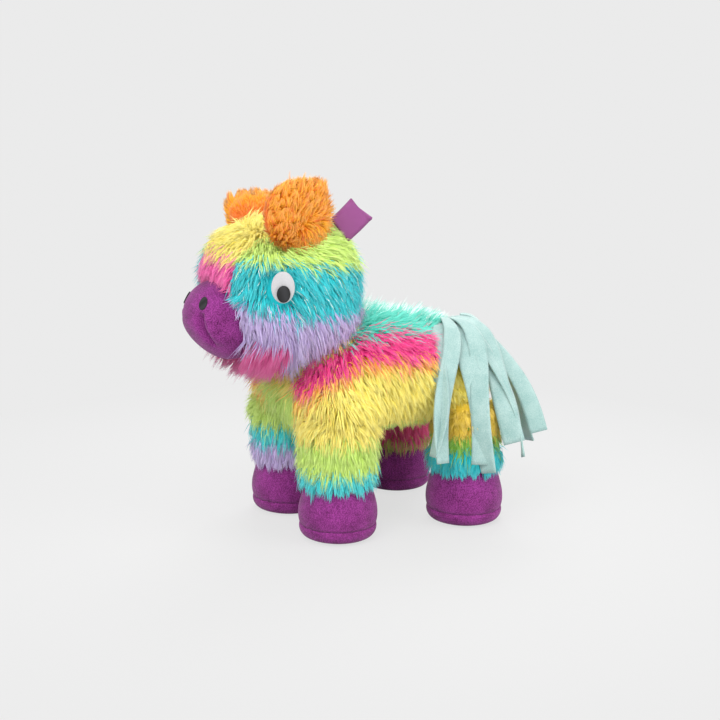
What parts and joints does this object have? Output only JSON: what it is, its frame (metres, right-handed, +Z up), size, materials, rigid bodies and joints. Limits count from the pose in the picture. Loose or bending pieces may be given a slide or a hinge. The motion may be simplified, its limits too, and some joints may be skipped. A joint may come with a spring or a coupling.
{
  "type": "plush donkey toy",
  "caption": "Stuffed plush toy donkey in rainbow pile with purple velboa muzzle and hooves, orange ears, ribbon tag and a tail of felt strips.",
  "frame": {"origin": "centre of the bounding box at the floor that the soles stand on", "axes": "+Z up, -Y the way the toy faces, +X its left side"},
  "size_m": [0.1538, 0.254, 0.2388],
  "materials": {
    "rainbow_plush": "long shaggy pile dyed in soft-edged stripes",
    "orange_plush": "shaggy pile",
    "orange_lining": "short brushed pile",
    "purple_velboa": "short velvety pile",
    "eye_felt": "dense white felt",
    "black_thread": "satin-stitch embroidery",
    "tag_ribbon": "woven ribbon, bare",
    "tail_felt": "soft craft felt",
    "fibre_stuffing": "loose polyester fibre"
  },
  "bodies": {
    "torso": {"torso_left_panel": "rainbow_plush", "torso_right_panel": "rainbow_plush", "belly_panel": "rainbow_plush", "torso_stuffing": "fibre_stuffing", "tail_binding": "tail_felt"},
    "neck": {"neck_stuffing": "fibre_stuffing"},
    "head": {"head_left_panel": "rainbow_plush", "head_right_panel": "rainbow_plush", "head_centre_panel": "rainbow_plush", "head_stuffing": "fibre_stuffing", "muzzle_cover": "purple_velboa", "muzzle_stuffing": "fibre_stuffing", "eye_white_left": "eye_felt", "eye_white_right": "eye_felt", "pupil_left": "black_thread", "pupil_right": "black_thread", "nostril_left": "black_thread", "nostril_right": "black_thread"},
    "ear_left": {"ear_back_left": "orange_plush", "ear_lining_left": "orange_lining"},
    "ear_right": {"ear_back_right": "orange_plush", "ear_lining_right": "orange_lining"},
    "tag": {"loop_tag": "tag_ribbon"},
    "leg_front_left": {"leg_sleeve_front_left": "rainbow_plush", "leg_stuffing_front_left": "fibre_stuffing", "hoof_cover_front_left": "purple_velboa", "hoof_sole_front_left": "purple_velboa"},
    "leg_front_right": {"leg_sleeve_front_right": "rainbow_plush", "leg_stuffing_front_right": "fibre_stuffing", "hoof_cover_front_right": "purple_velboa", "hoof_sole_front_right": "purple_velboa"},
    "leg_hind_left": {"leg_sleeve_hind_left": "rainbow_plush", "leg_stuffing_hind_left": "fibre_stuffing", "hoof_cover_hind_left": "purple_velboa", "hoof_sole_hind_left": "purple_velboa"},
    "leg_hind_right": {"leg_sleeve_hind_right": "rainbow_plush", "leg_stuffing_hind_right": "fibre_stuffing", "hoof_cover_hind_right": "purple_velboa", "hoof_sole_hind_right": "purple_velboa"},
    "strip_1": {"tail_strip_1": "tail_felt"},
    "strip_2": {"tail_strip_2": "tail_felt"},
    "strip_3": {"tail_strip_3": "tail_felt"},
    "strip_4": {"tail_strip_4": "tail_felt"},
    "strip_5": {"tail_strip_5": "tail_felt"},
    "strip_6": {"tail_strip_6": "tail_felt"},
    "strip_7": {"tail_strip_7": "tail_felt"},
    "strip_8": {"tail_strip_8": "tail_felt"}
  },
  "joints": [
    {"name": "neck_turn", "type": "hinge", "parent": "torso", "child": "neck", "pos_m": [-0.00511, -0.03496, 0.124], "axis": [0, -0.6428, 0.766], "range_deg": [-20, 20], "stiffness_Nm_per_rad": 1.2},
    {"name": "head_nod", "type": "hinge", "parent": "neck", "child": "head", "pos_m": [-0.00511, -0.03496, 0.124], "axis": [1, 0, 0], "range_deg": [-9, 9], "stiffness_Nm_per_rad": 1.5},
    {"name": "ear_left_flop", "type": "hinge", "parent": "head", "child": "ear_left", "pos_m": [0.02682, -0.06304, 0.20688], "axis": [0.2754, -0.9605, -0.0387], "range_deg": [-24, 24], "stiffness_Nm_per_rad": 0.03},
    {"name": "ear_right_flop", "type": "hinge", "parent": "head", "child": "ear_right", "pos_m": [-0.03704, -0.06304, 0.20688], "axis": [0.2754, 0.9605, 0.0387], "range_deg": [-24, 24], "stiffness_Nm_per_rad": 0.03},
    {"name": "tag_flap", "type": "hinge", "parent": "head", "child": "tag", "pos_m": [0.01711, -0.02665, 0.20093], "axis": [0, 0.8276, -0.5614], "range_deg": [-50, 50], "stiffness_Nm_per_rad": 0.0005},
    {"name": "leg_front_left_swing", "type": "hinge", "parent": "torso", "child": "leg_front_left", "pos_m": [0.03089, -0.03596, 0.063], "axis": [1, 0, 0], "range_deg": [-15, 15], "stiffness_Nm_per_rad": 0.5},
    {"name": "leg_front_right_swing", "type": "hinge", "parent": "torso", "child": "leg_front_right", "pos_m": [-0.04111, -0.03596, 0.063], "axis": [1, 0, 0], "range_deg": [-15, 15], "stiffness_Nm_per_rad": 0.5},
    {"name": "leg_hind_left_swing", "type": "hinge", "parent": "torso", "child": "leg_hind_left", "pos_m": [0.04089, 0.05704, 0.063], "axis": [1, 0, 0], "range_deg": [-15, 15], "stiffness_Nm_per_rad": 0.5},
    {"name": "leg_hind_right_swing", "type": "hinge", "parent": "torso", "child": "leg_hind_right", "pos_m": [-0.05111, 0.05704, 0.063], "axis": [1, 0, 0], "range_deg": [-15, 15], "stiffness_Nm_per_rad": 0.5},
    {"name": "strip_1_lift", "type": "hinge", "parent": "torso", "child": "strip_1", "pos_m": [0.00583, 0.05866, 0.13128], "axis": [-0.5592, -0.829, 0], "range_deg": [0, 40]},
    {"name": "strip_2_lift", "type": "hinge", "parent": "torso", "child": "strip_2", "pos_m": [0.00695, 0.06067, 0.13448], "axis": [-0.4067, -0.9135, 0], "range_deg": [0, 40]},
    {"name": "strip_3_lift", "type": "hinge", "parent": "torso", "child": "strip_3", "pos_m": [0.0077, 0.06284, 0.13128], "axis": [-0.2419, -0.9703, 0], "range_deg": [0, 40]},
    {"name": "strip_4_lift", "type": "hinge", "parent": "torso", "child": "strip_4", "pos_m": [0.00806, 0.06512, 0.13448], "axis": [-0.0698, -0.9976, 0], "range_deg": [0, 40]},
    {"name": "strip_5_lift", "type": "hinge", "parent": "torso", "child": "strip_5", "pos_m": [0.00802, 0.06742, 0.13128], "axis": [0.1045, -0.9945, 0], "range_deg": [0, 40]},
    {"name": "strip_6_lift", "type": "hinge", "parent": "torso", "child": "strip_6", "pos_m": [0.00758, 0.06968, 0.13448], "axis": [0.2756, -0.9613, 0], "range_deg": [0, 40]},
    {"name": "strip_7_lift", "type": "hinge", "parent": "torso", "child": "strip_7", "pos_m": [0.00675, 0.07182, 0.13128], "axis": [0.4384, -0.8988, 0], "range_deg": [0, 40]},
    {"name": "strip_8_lift", "type": "hinge", "parent": "torso", "child": "strip_8", "pos_m": [0.00227, 0.07698, 0.13448], "axis": [0.829, -0.5592, 0], "range_deg": [0, 40]}
  ]
}
